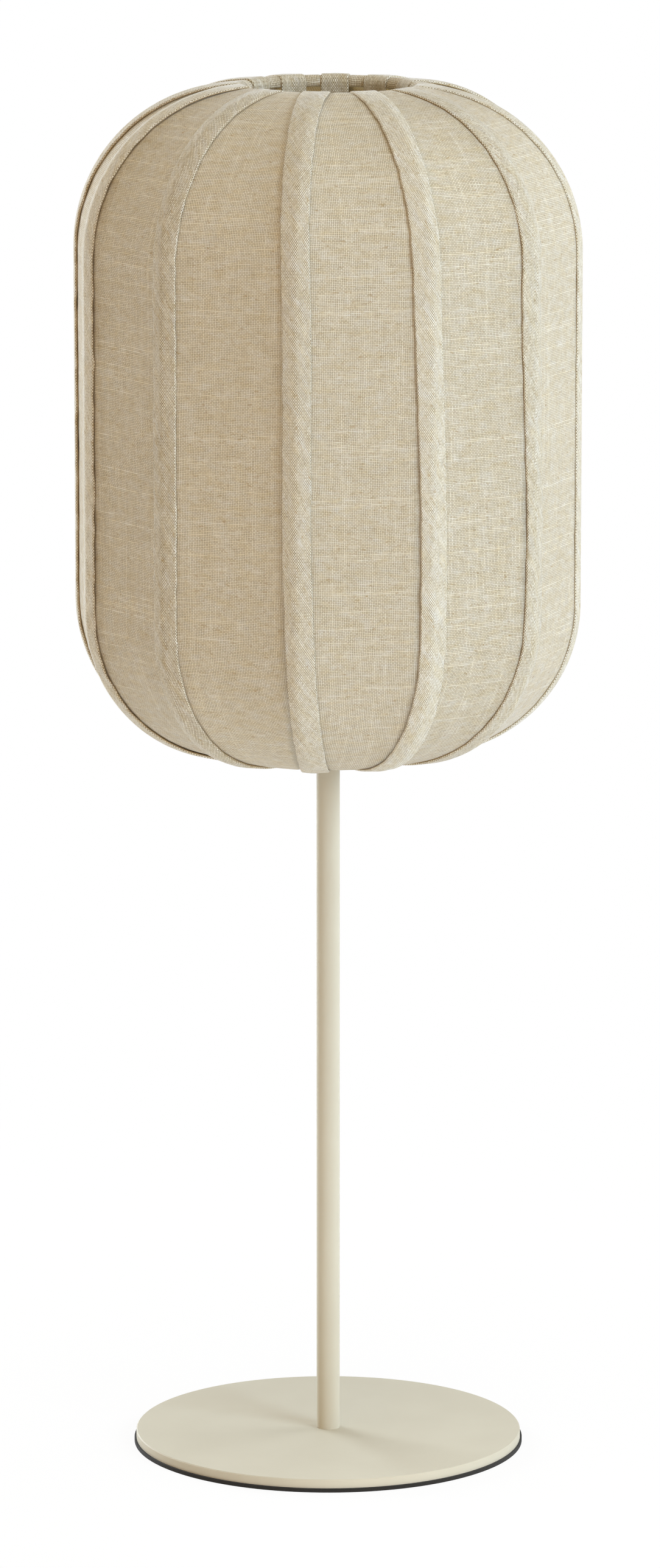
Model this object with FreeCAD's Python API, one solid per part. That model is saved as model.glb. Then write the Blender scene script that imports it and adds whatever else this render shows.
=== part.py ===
import FreeCAD
import Part
import math
import os

# Linen table lamp: twelve linen panels stretched over a welded wire cage, with a folded bias tape
# over every seam, carried by a three-armed fitter on the lampholder of a slim tube pole.
#
# Millimetres and degrees. The origin is on the table under the pole, +Z is up and the front is -Y.
# A bearing is an angle about the pole, from the front towards +X. Sections are drawn as
# (radius, height) points in a half plane through the pole.

# Base
BASE_DIAMETER = 200.0
BASE_THICKNESS = 4.5
BASE_EDGE_BREAK = 0.5
PAD_OVERHANG = 1.0
PAD_THICKNESS = 2.0
BASE_SCREW_DIAMETER = 6.0
BASE_SCREW_LENGTH = 20.0
BASE_SCREW_HEAD_DIAMETER = 12.0
SCREW_SOCKET_WIDTH = 4.0
SCREW_SOCKET_DEPTH = 2.0

# Pole
POLE_DIAMETER = 12.0
POLE_WALL = 1.5
POLE_TAPPED_WALL = 1.0
FOOT_PLUG_LENGTH = 22.0
CORD_OUTLET_RISE = 36.0
CORD_BORE = 5.4
GROMMET_WALL = 0.8
GROMMET_FLANGE_WIDTH = 1.2
GROMMET_FLANGE_THICKNESS = 1.0
GROMMET_TAIL = 1.0

# Shade: outside sizes are over the tapes, and the rings are measured at the middle of their wire
SHADE_BOTTOM_HEIGHT = 364.5
SHADE_HEIGHT = 344.0
SHADE_DIAMETER = 260.0
TOP_RING_DIAMETER = 92.0
BOTTOM_RING_DIAMETER = 100.0
RING_WIRE = 4.0
RIB_WIRE = 3.0
LINEN_THICKNESS = 1.0
HEM_TURN = 110.0
PANEL_DRAW_IN = 4.0
SEAM_GAP = 0.6
TAPE_WIDTH = 14.0
TAPE_THICKNESS = 1.4

# The ribs were bent and spaced by hand, so their bearings are near 30 degrees apart but not equal
RIB_BEARINGS = (-7.0, 23.3, 53.3, 84.0, 114.3, 145.0, 175.5, 205.0, 235.2, 265.5, 289.5, 320.5)

# Fitter that carries the shade on the lampholder
FITTER_RISE = 85.0
FITTER_BORE = 42.0
FITTER_WIDTH = 10.0
FITTER_THICKNESS = 2.0
ARM_WIRE = 3.5
ARM_BEARINGS = (60.0, 180.0, 300.0)

# Lampholder, for a 27 mm screw cap
NIPPLE_BORE = 7.0
NIPPLE_GRIP = 11.0
LOCK_NUT_WALL = 2.0
LOCK_NUT_HEIGHT = 4.0
LOCK_WASHER_WIDTH = 3.0
LOCK_WASHER_THICKNESS = 0.8
HOLDER_CAP_HEIGHT = 26.0
HOLDER_CAP_WALL = 2.5
HOLDER_NECK_HEIGHT = 6.0
HOLDER_RIM_WIDTH = 4.0
HOLDER_RIM_HEIGHT = 5.0
SKIRT_DIAMETER = 40.0
SKIRT_WALL = 2.2
SKIRT_HEIGHT = 30.0
SKIRT_SPIGOT = 8.0
CORE_HEIGHT = 9.0
CORE_LEDGE = 2.0
SHELL_SHEET = 0.6
SHELL_FLANGE = 3.0
SHELL_HEIGHT = 22.0
CONTACT_WIDTH = 6.0
CONTACT_RISE = 3.0
CONTACT_REACH = 10.0
TERMINAL_SCREW_DIAMETER = 3.0
TERMINAL_SCREW_LENGTH = 6.0
TERMINAL_HEAD_DIAMETER = 5.6
TERMINAL_HEAD_HEIGHT = 2.0
TERMINAL_SPACING = 18.0
SHADE_RING_WIDTH = 6.5
SHADE_RING_HEIGHT = 9.0
SHADE_RING_GRIPS = 12
GRIP_NOTCH_DIAMETER = 3.0

# Bulb
BULB_DIAMETER = 60.0
BULB_LENGTH = 105.0
BULB_GLASS_WALL = 1.0
BULB_CAP_DIAMETER = 26.4
BULB_CAP_LENGTH = 24.0
BULB_CAP_SHEET = 0.5
BULB_NECK_DEPTH = 12.0
BULB_INSULATOR_HEIGHT = 4.0
BULB_TIP_DIAMETER = 9.5
BULB_TIP_HEIGHT = 1.5

# Clearances
CLOTH_GAP = 0.15
FIT_GAP = 0.05
WELD_GAP = 0.05
SEAT_GAP = 0.1
SCREW_GAP = 0.2

# Heights of the stack
BASE_BOTTOM = PAD_THICKNESS
BASE_TOP = BASE_BOTTOM + BASE_THICKNESS
HEM_RADIUS = RING_WIRE / 2 + CLOTH_GAP + LINEN_THICKNESS
HOOK_RADIUS = HEM_RADIUS + CLOTH_GAP + TAPE_THICKNESS
BOTTOM_RING_HEIGHT = SHADE_BOTTOM_HEIGHT + HOOK_RADIUS
TOP_RING_HEIGHT = SHADE_BOTTOM_HEIGHT + SHADE_HEIGHT - HOOK_RADIUS
FITTER_BOTTOM = BOTTOM_RING_HEIGHT + FITTER_RISE
SHOULDER_HEIGHT = FITTER_BOTTOM - SEAT_GAP
POLE_TOP = SHOULDER_HEIGHT - HOLDER_CAP_HEIGHT
CORE_BOTTOM = SHOULDER_HEIGHT - SKIRT_SPIGOT
CORE_TOP = CORE_BOTTOM + CORE_HEIGHT
BULB_TIP = CORE_TOP + CONTACT_RISE + SEAT_GAP

# Radii that several pieces share
POLE_RADIUS = POLE_DIAMETER / 2
POLE_BORE_RADIUS = POLE_RADIUS - POLE_WALL
NIPPLE_RADIUS = POLE_RADIUS - POLE_TAPPED_WALL - FIT_GAP
NUT_CORNER_RADIUS = (NIPPLE_RADIUS + FIT_GAP + LOCK_NUT_WALL) / math.cos(math.pi / 6)
NECK_BORE_RADIUS = NUT_CORNER_RADIUS + SCREW_GAP
SKIRT_RADIUS = SKIRT_DIAMETER / 2
SPIGOT_BORE_RADIUS = SKIRT_RADIUS + SEAT_GAP
SHOULDER_RADIUS = SPIGOT_BORE_RADIUS + HOLDER_RIM_WIDTH
CORE_RADIUS = SKIRT_RADIUS - SKIRT_WALL - SEAT_GAP
SHELL_BORE_RADIUS = BULB_CAP_DIAMETER / 2 + SCREW_GAP
FITTER_RADIUS = FITTER_BORE / 2 + FITTER_WIDTH
GROMMET_RADIUS = CORD_BORE / 2 + GROMMET_WALL
TOP_RING_RADIUS = TOP_RING_DIAMETER / 2
BOTTOM_RING_RADIUS = BOTTOM_RING_DIAMETER / 2
TAPE_SIDE_RADIUS = SHADE_DIAMETER / 2
SEAM_SIDE_RADIUS = TAPE_SIDE_RADIUS - TAPE_THICKNESS - CLOTH_GAP

# Each ring's radius and height, and which way it faces
RINGS = (
    (TOP_RING_RADIUS, TOP_RING_HEIGHT, 1),
    (BOTTOM_RING_RADIUS, BOTTOM_RING_HEIGHT, -1),
)

UP = FreeCAD.Vector(0, 0, 1)
CENTRE = FreeCAD.Vector(0, 0, 0)


def place(bearing, radius, height):
    """Point at a bearing about the pole."""
    turn = math.radians(bearing)
    return FreeCAD.Vector(radius * math.sin(turn), -radius * math.cos(turn), height)


def sideways(bearing, distance):
    """Level vector square to the half plane at a bearing."""
    turn = math.radians(bearing)
    return FreeCAD.Vector(distance * math.cos(turn), distance * math.sin(turn), 0)


def cylinder(radius, bottom, top):
    return Part.makeCylinder(radius, top - bottom, FreeCAD.Vector(0, 0, bottom), UP)


def tube(outer_radius, bore_radius, bottom, top):
    return cylinder(outer_radius, bottom, top).cut(cylinder(bore_radius, bottom, top))


def hexagon(corner_radius, bottom, top):
    corners = [place(60 * corner, corner_radius, bottom) for corner in range(7)]
    return Part.Face(Part.makePolygon(corners)).extrude(UP * (top - bottom))


def turned(edges):
    """Solid of revolution of a closed chain of edges in the front half plane."""
    section = Part.Face(Part.Wire(Part.__sortEdges__(edges)))
    return section.revolve(CENTRE, UP, 360)


def turned_polygon(points):
    section = [place(90, radius, height) for radius, height in points]
    return turned(Part.makePolygon(section + section[:1]).Edges)


def line(start, end, bearing=90):
    return Part.LineSegment(place(bearing, *start), place(bearing, *end)).toShape()


def arc(start, middle, end, bearing=90):
    return Part.Arc(place(bearing, *start), place(bearing, *middle), place(bearing, *end)).toShape()


# Base and pole


def base_pad():
    """Black felt disc glued under the base, a little wider than the steel."""
    return cylinder(BASE_DIAMETER / 2 + PAD_OVERHANG, 0, PAD_THICKNESS)


def base_disc():
    """Steel plate with a countersunk hole from below and a broken top edge."""
    rim = BASE_DIAMETER / 2
    hole = BASE_SCREW_DIAMETER / 2 + SCREW_GAP
    sink = BASE_SCREW_HEAD_DIAMETER / 2 + SCREW_GAP
    return turned_polygon([
        (hole, BASE_TOP),
        (hole, BASE_BOTTOM + sink - hole),
        (sink, BASE_BOTTOM),
        (rim, BASE_BOTTOM),
        (rim, BASE_TOP - BASE_EDGE_BREAK),
        (rim - BASE_EDGE_BREAK, BASE_TOP),
    ])


def base_screw():
    """Countersunk screw, flush with the underside of the plate, with a hexagon socket."""
    shank = BASE_SCREW_DIAMETER / 2
    head = BASE_SCREW_HEAD_DIAMETER / 2
    screw = turned_polygon([
        (0, BASE_BOTTOM),
        (head, BASE_BOTTOM),
        (shank, BASE_BOTTOM + head - shank),
        (shank, BASE_BOTTOM + BASE_SCREW_LENGTH),
        (0, BASE_BOTTOM + BASE_SCREW_LENGTH),
    ])
    corner = SCREW_SOCKET_WIDTH / 2 / math.cos(math.pi / 6)
    return screw.cut(hexagon(corner, BASE_BOTTOM, BASE_BOTTOM + SCREW_SOCKET_DEPTH))


def pole_foot_plug():
    """Turned plug pressed into the foot of the pole, tapped for the base screw."""
    plug_radius = POLE_BORE_RADIUS - FIT_GAP
    thread_radius = BASE_SCREW_DIAMETER / 2 + FIT_GAP
    return tube(plug_radius, thread_radius, BASE_TOP, BASE_TOP + FOOT_PLUG_LENGTH)


def pole_tube():
    """Steel tube, tapped at the top for the nipple, with the cord's hole at the back of its foot."""
    outside = cylinder(POLE_RADIUS, BASE_TOP, POLE_TOP)
    bore = cylinder(POLE_BORE_RADIUS, BASE_TOP, POLE_TOP)
    tapping = cylinder(NIPPLE_RADIUS + FIT_GAP, POLE_TOP - NIPPLE_GRIP, POLE_TOP)
    return outside.cut(bore).cut(tapping).cut(cord_rod(GROMMET_RADIUS + FIT_GAP, 0, POLE_DIAMETER))


def cord_rod(radius, start, end):
    """Rod along +Y at the height of the cord outlet, between two distances from the pole's axis."""
    foot = FreeCAD.Vector(0, start, BASE_TOP + CORD_OUTLET_RISE)
    return Part.makeCylinder(radius, end - start, foot, FreeCAD.Vector(0, 1, 0))


def cord_grommet():
    """Moulded bush for the cord: a flange saddled to the pole and a tail inside its bore."""
    outer_end = POLE_RADIUS + GROMMET_FLANGE_THICKNESS
    tail_end = POLE_BORE_RADIUS - GROMMET_TAIL
    pole_skin = cylinder(POLE_RADIUS + FIT_GAP, BASE_TOP, POLE_TOP)
    flange = cord_rod(GROMMET_RADIUS + GROMMET_FLANGE_WIDTH, 0, outer_end).cut(pole_skin)
    body = cord_rod(GROMMET_RADIUS, tail_end, outer_end)
    return flange.fuse(body).cut(cord_rod(CORD_BORE / 2, 0, outer_end)).removeSplitter()


# Lampholder


def holder_nipple():
    """Hollow threaded stud that joins the pole and the lampholder."""
    bottom = POLE_TOP - NIPPLE_GRIP
    top = POLE_TOP + HOLDER_CAP_WALL + LOCK_WASHER_THICKNESS + LOCK_NUT_HEIGHT
    return tube(NIPPLE_RADIUS, NIPPLE_BORE / 2, bottom, top)


def holder_lock_washer():
    floor = POLE_TOP + HOLDER_CAP_WALL
    bore_radius = NIPPLE_RADIUS + FIT_GAP
    return tube(bore_radius + LOCK_WASHER_WIDTH, bore_radius, floor, floor + LOCK_WASHER_THICKNESS)


def holder_lock_nut():
    bottom = POLE_TOP + HOLDER_CAP_WALL + LOCK_WASHER_THICKNESS
    nut = hexagon(NUT_CORNER_RADIUS, bottom, bottom + LOCK_NUT_HEIGHT)
    return nut.cut(cylinder(NIPPLE_RADIUS + FIT_GAP, bottom, bottom + LOCK_NUT_HEIGHT))


def holder_cap():
    """Moulded bell: a neck on the nipple, flaring to the shoulder that the shade's fitter sits on."""
    neck = NECK_BORE_RADIUS + HOLDER_CAP_WALL
    neck_top = POLE_TOP + HOLDER_NECK_HEIGHT
    rim_bottom = SHOULDER_HEIGHT - HOLDER_RIM_HEIGHT
    ledge_radius = CORE_RADIUS - CORE_LEDGE
    floor = POLE_TOP + HOLDER_CAP_WALL
    bore = NIPPLE_RADIUS + FIT_GAP
    bend = math.sqrt(0.5)
    flare_middle = (
        neck + (SHOULDER_RADIUS - neck) * bend,
        neck_top + (rim_bottom - neck_top) * (1 - bend),
    )
    inner_bend = neck_top + HOLDER_CAP_WALL
    outline = [
        (SHOULDER_RADIUS, rim_bottom),
        (SHOULDER_RADIUS, SHOULDER_HEIGHT),
        (SPIGOT_BORE_RADIUS, SHOULDER_HEIGHT),
        (SPIGOT_BORE_RADIUS, CORE_BOTTOM),
        (ledge_radius, CORE_BOTTOM),
        (NECK_BORE_RADIUS, inner_bend),
        (NECK_BORE_RADIUS, floor),
        (bore, floor),
        (bore, POLE_TOP),
        (neck, POLE_TOP),
        (neck, neck_top),
    ]
    edges = [line(start, end) for start, end in zip(outline, outline[1:])]
    edges.append(arc((neck, neck_top), flare_middle, (SHOULDER_RADIUS, rim_bottom)))
    return turned(edges)


def holder_skirt():
    """Threaded sleeve that stands in the bell and takes the shade ring."""
    return tube(SKIRT_RADIUS, SKIRT_RADIUS - SKIRT_WALL, CORE_BOTTOM, SHOULDER_HEIGHT + SKIRT_HEIGHT)


def terminal_places():
    return [sideways(0, side * TERMINAL_SPACING / 2) for side in (-1, 1)]


def holder_core():
    """Porcelain disc that carries the contacts, drilled for the two terminal screws."""
    core = cylinder(CORE_RADIUS, CORE_BOTTOM, CORE_TOP)
    hole_radius = TERMINAL_SCREW_DIAMETER / 2 + FIT_GAP
    for spot in terminal_places():
        hole = cylinder(hole_radius, CORE_BOTTOM, CORE_BOTTOM + TERMINAL_SCREW_LENGTH + SEAT_GAP)
        core = core.cut(hole.translated(spot))
    return core


def terminal_screws():
    """Two brass screws under the core, which clamp the leads."""
    shank = cylinder(TERMINAL_SCREW_DIAMETER / 2, CORE_BOTTOM, CORE_BOTTOM + TERMINAL_SCREW_LENGTH)
    head = cylinder(TERMINAL_HEAD_DIAMETER / 2, CORE_BOTTOM - TERMINAL_HEAD_HEIGHT, CORE_BOTTOM)
    screw = shank.fuse(head)
    return Part.makeCompound([screw.translated(spot) for spot in terminal_places()])


def holder_screw_shell():
    """Brass sleeve that the bulb screws into, flanged at its foot to sit on the core."""
    bore = SHELL_BORE_RADIUS
    wall = bore + SHELL_SHEET
    return turned_polygon([
        (bore, CORE_TOP),
        (wall + SHELL_FLANGE, CORE_TOP),
        (wall + SHELL_FLANGE, CORE_TOP + SHELL_SHEET),
        (wall, CORE_TOP + SHELL_SHEET),
        (wall, CORE_TOP + SHELL_HEIGHT),
        (bore, CORE_TOP + SHELL_HEIGHT),
    ])


def centre_contact():
    """Springy brass tongue, riveted flat at one end and raised under the bulb's tip."""
    sheet = SHELL_SHEET
    foot_end = -CONTACT_REACH / 2
    tongue = [
        (-CONTACT_REACH, CORE_TOP),
        (foot_end, CORE_TOP),
        (-sheet, CORE_TOP + CONTACT_RISE - sheet),
        (CONTACT_WIDTH / 2, CORE_TOP + CONTACT_RISE - sheet),
        (CONTACT_WIDTH / 2, CORE_TOP + CONTACT_RISE),
        (-2 * sheet, CORE_TOP + CONTACT_RISE),
        (foot_end - sheet, CORE_TOP + sheet),
        (-CONTACT_REACH, CORE_TOP + sheet),
    ]
    outline = [FreeCAD.Vector(along, -CONTACT_WIDTH / 2, height) for along, height in tongue]
    side = Part.Face(Part.makePolygon(outline + outline[:1]))
    return side.extrude(FreeCAD.Vector(0, CONTACT_WIDTH, 0))


def shade_ring():
    """Threaded ring, notched for the fingers, that holds the fitter down on the shoulder."""
    bottom = FITTER_BOTTOM + FITTER_THICKNESS + SEAT_GAP
    top = bottom + SHADE_RING_HEIGHT
    bore = SKIRT_RADIUS + SCREW_GAP
    ring = tube(bore + SHADE_RING_WIDTH, bore, bottom, top)
    for grip in range(SHADE_RING_GRIPS):
        spot = place(grip * 360 / SHADE_RING_GRIPS, bore + SHADE_RING_WIDTH, 0)
        ring = ring.cut(cylinder(GRIP_NOTCH_DIAMETER / 2, bottom, top).translated(spot))
    return ring


# Bulb


def taper_to_globe(foot, globe_height, globe_radius):
    """Where a straight line from the foot touches the globe, and the globe's own top."""
    radius, height = foot
    drop = globe_height - height
    reach = math.hypot(radius, drop)
    angle = math.atan2(radius, -drop) - math.acos(globe_radius / reach)
    touch = (globe_radius * math.sin(angle), globe_height + globe_radius * math.cos(angle))
    middle = (globe_radius * math.sin(angle / 2), globe_height + globe_radius * math.cos(angle / 2))
    return touch, middle, (0, globe_height + globe_radius)


def bulb_cap_top():
    return BULB_TIP + BULB_TIP_HEIGHT + BULB_INSULATOR_HEIGHT + BULB_CAP_LENGTH


def bulb_glass():
    """Opal envelope: a round globe on a straight taper, with its neck cemented in the cap."""
    globe_height = BULB_TIP + BULB_LENGTH - BULB_DIAMETER / 2
    neck = BULB_CAP_DIAMETER / 2 - BULB_CAP_SHEET - FIT_GAP
    neck_top = bulb_cap_top()
    neck_bottom = neck_top - BULB_NECK_DEPTH
    inner_neck = neck - BULB_GLASS_WALL
    inner_globe = BULB_DIAMETER / 2 - BULB_GLASS_WALL
    outer = taper_to_globe((neck, neck_top), globe_height, BULB_DIAMETER / 2)
    inner = taper_to_globe((inner_neck, neck_top), globe_height, inner_globe)
    return turned([
        line((neck, neck_bottom), (neck, neck_top)),
        line((neck, neck_top), outer[0]),
        arc(*outer),
        line(outer[2], inner[2]),
        arc(*inner),
        line(inner[0], (inner_neck, neck_top)),
        line((inner_neck, neck_top), (inner_neck, neck_bottom)),
        line((inner_neck, neck_bottom), (neck, neck_bottom)),
    ])


def bulb_cap():
    """Brass screw cap, drawn in at its foot over the insulator."""
    bottom = BULB_TIP + BULB_TIP_HEIGHT + BULB_INSULATOR_HEIGHT
    wall = BULB_CAP_DIAMETER / 2
    bore = wall - BULB_CAP_SHEET
    return tube(wall, bore, bottom, bulb_cap_top()).fuse(cylinder(wall, bottom, bottom + BULB_CAP_SHEET))


def bulb_insulator():
    """Black glass cone between the cap and the tip."""
    bottom = BULB_TIP + BULB_TIP_HEIGHT
    tip = BULB_TIP_DIAMETER / 2
    wide = BULB_CAP_DIAMETER / 2 - BULB_CAP_SHEET
    return Part.makeCone(tip, wide, BULB_INSULATOR_HEIGHT, FreeCAD.Vector(0, 0, bottom), UP)


def bulb_tip():
    return cylinder(BULB_TIP_DIAMETER / 2, BULB_TIP, BULB_TIP + BULB_TIP_HEIGHT)


# Shade cage


def cage_ring(radius, height, gap=0):
    return Part.makeTorus(radius, RING_WIRE / 2 + gap, FreeCAD.Vector(0, 0, height), UP)


def cut_at_rings(wire):
    """Trims a wire to the saddle where it is welded against the rings."""
    for radius, height, up in RINGS:
        wire = wire.cut(cage_ring(radius, height, WELD_GAP))
    return wire


def rib_wire(bearing, widest_bay):
    """Bent wire in the corner of two panels, from the top ring round the shoulders to the bottom."""
    corner = (RIB_WIRE / 2 + CLOTH_GAP) / math.cos(math.radians(widest_bay / 2))
    inset = LINEN_THICKNESS + corner
    side = SEAM_SIDE_RADIUS - inset
    shoulders = []
    for ring_radius, ring_height, up in RINGS:
        bend = side - ring_radius
        centre = ring_height + up * (HEM_RADIUS - inset - bend)
        ring_end = math.asin(RING_WIRE / 4 / bend)
        shoulders.append([
            (ring_radius + bend * math.sin(turn), centre + up * bend * math.cos(turn))
            for turn in (ring_end, (ring_end + math.pi / 2) / 2, math.pi / 2)
        ])
    top, bottom = shoulders
    top_bend = arc(*top, bearing)
    path = Part.Wire([
        top_bend,
        line(top[2], bottom[2], bearing),
        arc(*reversed(bottom), bearing),
    ])
    along = top_bend.tangentAt(top_bend.FirstParameter)
    section = Part.Wire(Part.makeCircle(RIB_WIRE / 2, place(bearing, *top[0]), along))
    return cut_at_rings(path.makePipe(Part.Face(section)))


def fitter_ring():
    return tube(FITTER_RADIUS, FITTER_BORE / 2, FITTER_BOTTOM, FITTER_BOTTOM + FITTER_THICKNESS)


def fitter_arms():
    """Three straight wires from the bottom ring up to the underside of the fitter."""
    head_room = cylinder(SHADE_DIAMETER / 2, FITTER_BOTTOM, FITTER_BOTTOM + ARM_WIRE)
    arms = []
    for bearing in ARM_BEARINGS:
        foot = place(bearing, BOTTOM_RING_RADIUS, BOTTOM_RING_HEIGHT)
        head = place(bearing, FITTER_RADIUS - ARM_WIRE / 2, FITTER_BOTTOM)
        run = head - foot
        arm = Part.makeCylinder(ARM_WIRE / 2, run.Length + ARM_WIRE / 2, foot, run)
        arms.append(cut_at_rings(arm).cut(head_room))
    return Part.makeCompound(arms)


# Shade cloth


def hooked_band(bearing, aside, hook_radius, side_radius, thickness, lean):
    """Closed outline of cloth in a half plane, or beside it, drawn over the rings and down the side.

    A hook round each ring starts inside the opening and leaves the ring leaning outwards and
    downwards by the lean angle. It runs into a shoulder arc that ends upright at the side.
    """
    slope = math.sin(math.radians(lean))
    fall = math.cos(math.radians(lean))

    def point(centre, radius, angle, up):
        swing = math.radians(angle)
        return (centre[0] + radius * math.sin(swing), centre[1] + up * radius * math.cos(swing))

    def sweep(centre, radius, first, last, up):
        points = [point(centre, radius, angle, up) for angle in (first, (first + last) / 2, last)]
        return arc(*points, bearing)

    edges = []
    hook_ends = []
    for skin in (0, thickness):
        side = []
        for ring_radius, ring_height, up in RINGS:
            hook = (math.sqrt(ring_radius ** 2 - aside ** 2), ring_height)
            shoulder = (side_radius - hook[0] - hook_radius * slope) / (1 - slope)
            set_back = shoulder - hook_radius
            bend = (hook[0] - set_back * slope, ring_height - up * set_back * fall)
            edges.append(sweep(hook, hook_radius - skin, -HEM_TURN, lean, up))
            edges.append(sweep(bend, shoulder - skin, lean, 90, up))
            hook_ends.append(point(hook, hook_radius - skin, -HEM_TURN, up))
            side.append(point(bend, shoulder - skin, 90, up))
        edges.append(line(*side, bearing))
    edges.append(line(hook_ends[0], hook_ends[2], bearing))
    edges.append(line(hook_ends[1], hook_ends[3], bearing))
    outline = Part.Wire(Part.__sortEdges__(edges))
    outline.translate(sideways(bearing, aside))
    return outline


def linen_panel(first_bearing, last_bearing):
    """Linen stretched between two ribs: flat across, round at the rings, drawn in at the shoulders."""
    middle = (first_bearing + last_bearing) / 2
    half_bay = (last_bearing - first_bearing) / 2
    reach = half_bay - math.degrees(SEAM_GAP / 2 / SEAM_SIDE_RADIUS)
    flat = SEAM_SIDE_RADIUS * math.cos(math.radians(half_bay))
    outlines = []
    for share in (-1, -0.5, 0, 0.5, 1):
        swing = share * reach
        side = flat / math.cos(math.radians(swing))
        lean = PANEL_DRAW_IN * (1 - (swing / half_bay) ** 2)
        outlines.append(hooked_band(middle + swing, 0, HEM_RADIUS, side, LINEN_THICKNESS, lean))
    return Part.makeLoft(outlines, True, False)


def seam_tape(before, bearing, after):
    """Folded bias tape bent over a seam, a half on the panel at each side, hooked round both rings."""
    outlines = []
    for way, bay in ((-1, bearing - before), (0, 0), (1, after - bearing)):
        slant = math.radians(bay / 2)
        aside = way * TAPE_WIDTH / 2 * math.cos(slant)
        side = TAPE_SIDE_RADIUS - TAPE_WIDTH / 2 * math.sin(slant)
        outlines.append(hooked_band(bearing, aside, HOOK_RADIUS, side, TAPE_THICKNESS, 0))
    return Part.makeLoft(outlines, True, True)


def shade_cloth_and_ribs():
    """Ribs, tapes and panels, numbered from the front rib towards +X."""
    before = (RIB_BEARINGS[-1] - 360,) + RIB_BEARINGS[:-1]
    after = RIB_BEARINGS[1:] + (RIB_BEARINGS[0] + 360,)
    widest_bay = max(last - first for first, last in zip(RIB_BEARINGS, after))
    pieces = {}
    for number, (left, bearing, right) in enumerate(zip(before, RIB_BEARINGS, after), start=1):
        pieces[f"rib_wire_{number:02d}"] = rib_wire(bearing, widest_bay)
        pieces[f"linen_panel_{number:02d}"] = linen_panel(bearing, right)
        pieces[f"seam_tape_{number:02d}"] = seam_tape(left, bearing, right)
    return pieces


nodes = {
    "base_pad": base_pad(),
    "base_disc": base_disc(),
    "base_screw": base_screw(),
    "pole_foot_plug": pole_foot_plug(),
    "pole_tube": pole_tube(),
    "cord_grommet": cord_grommet(),
    "holder_nipple": holder_nipple(),
    "holder_lock_washer": holder_lock_washer(),
    "holder_lock_nut": holder_lock_nut(),
    "holder_cap": holder_cap(),
    "holder_skirt": holder_skirt(),
    "holder_core": holder_core(),
    "terminal_screws": terminal_screws(),
    "holder_screw_shell": holder_screw_shell(),
    "centre_contact": centre_contact(),
    "shade_ring": shade_ring(),
    "bulb_glass": bulb_glass(),
    "bulb_cap": bulb_cap(),
    "bulb_insulator": bulb_insulator(),
    "bulb_tip": bulb_tip(),
    "top_ring": cage_ring(TOP_RING_RADIUS, TOP_RING_HEIGHT),
    "bottom_ring": cage_ring(BOTTOM_RING_RADIUS, BOTTOM_RING_HEIGHT),
    "fitter_ring": fitter_ring(),
    "fitter_arms": fitter_arms(),
}
nodes.update(shade_cloth_and_ribs())

os.makedirs("parts", exist_ok=True)
for name, shape in nodes.items():
    shape.exportStep(f"parts/{name}.step")
    print(f"{name}: {len(shape.Solids)} solid, {shape.Volume / 1000:.2f} cm3, valid {shape.isValid()}")
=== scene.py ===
"""Linen table lamp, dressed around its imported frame: metres, +Z up, front towards -Y."""

import math

import bpy
import numpy as np
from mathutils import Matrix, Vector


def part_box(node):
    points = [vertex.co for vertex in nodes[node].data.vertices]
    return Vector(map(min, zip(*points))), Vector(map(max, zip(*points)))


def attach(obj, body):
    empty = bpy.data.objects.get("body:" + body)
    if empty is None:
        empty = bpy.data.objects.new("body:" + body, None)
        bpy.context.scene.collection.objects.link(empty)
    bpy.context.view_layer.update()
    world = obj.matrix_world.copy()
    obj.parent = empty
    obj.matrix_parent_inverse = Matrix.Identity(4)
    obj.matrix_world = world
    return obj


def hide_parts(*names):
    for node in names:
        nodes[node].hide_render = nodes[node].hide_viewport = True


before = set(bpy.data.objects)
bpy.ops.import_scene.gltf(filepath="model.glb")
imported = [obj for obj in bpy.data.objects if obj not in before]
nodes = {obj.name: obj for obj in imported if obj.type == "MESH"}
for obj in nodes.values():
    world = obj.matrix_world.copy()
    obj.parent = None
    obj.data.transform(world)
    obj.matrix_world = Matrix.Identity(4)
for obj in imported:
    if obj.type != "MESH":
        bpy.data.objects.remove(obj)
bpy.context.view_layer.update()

# Camera
# The lamp stands straight in front of a long lens that looks down a little.
# Its distance, height and tilt were solved from the outlines of the base, the pole and the shade.
photo_width = 1084
photo_height = 2576
lamp_axis_pixel = 539
focal_pixels = 12648
camera_distance = 3.882
camera_height = 1.0955
camera_tilt = math.radians(10.899)
sensor_height = 36.0

camera_data = bpy.data.cameras.new("photo_camera")
camera_data.sensor_fit = "VERTICAL"
camera_data.sensor_height = sensor_height
camera_data.lens = focal_pixels / photo_height * sensor_height
camera_data.shift_x = (photo_width / 2 - lamp_axis_pixel) / photo_height
camera_data.clip_end = 50.0
camera = bpy.data.objects.new("photo_camera", camera_data)
camera.location = (0.0, -camera_distance, camera_height)
camera.rotation_euler = (math.pi / 2 - camera_tilt, 0.0, 0.0)
bpy.context.scene.collection.objects.link(camera)
bpy.context.scene.camera = camera
bpy.context.scene.view_settings.view_transform = "Standard"

# Studio floor and light
# A white sweep that the camera sees as paper white, with a faint shadow near the base. The air is
# white behind the lamp and warm and dim in front, with large soft boxes at the right, left and above,
# and a small one on the table that lights the edge of the base as white paper does.
floor_reach = 8.0
floor_gap = 0.0002
floor_colour = (0.90, 0.90, 0.89, 1.0)
paper_share = 0.92
shadow_reach = (0.25, 0.90)
air_front = (0.40, 0.29, 0.14, 1.0)
air_back = (0.59, 0.57, 0.55, 1.0)
air_turn = (-0.3, 0.5)
pure_white = (1.0, 1.0, 1.0, 1.0)
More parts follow.
